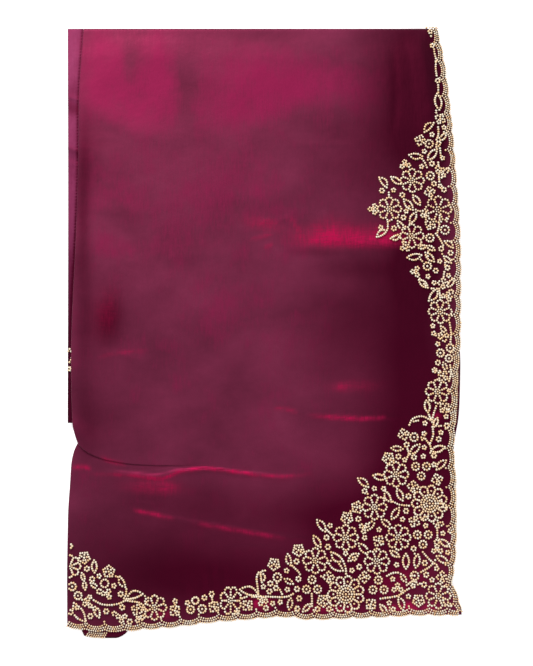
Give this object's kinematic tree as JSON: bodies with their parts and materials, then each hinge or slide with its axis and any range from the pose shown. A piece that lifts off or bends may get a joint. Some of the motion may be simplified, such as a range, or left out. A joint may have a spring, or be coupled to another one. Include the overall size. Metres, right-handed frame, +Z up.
{
  "type": "folded saree",
  "caption": "Silk saree folded in half along its length and then crosswise, lying flat, with the corner of its beaded scalloped floral border on top.",
  "frame": {"origin": "on the surface the pack lies on, below the middle of its box", "axes": "+X across the pack to the long beaded edge, +Y along it to the crosswise fold at the far end, +Z up"},
  "size_m": [0.5798, 0.8894, 0.0169],
  "materials": {
    "wine_satin": "satin",
    "inner_satin": "satin",
    "mauve_satin": "satin",
    "gold_beads": "satin"
  },
  "bodies": {
    "root": {"folded_layers": "inner_satin", "under_left": "mauve_satin", "back_half": "inner_satin", "front_lower": "wine_satin", "front_upper": "wine_satin", "edging_right": "gold_beads", "edging_bottom": "gold_beads", "edging_back_right": "gold_beads", "edging_back_bottom": "gold_beads"}
  },
  "joints": []
}
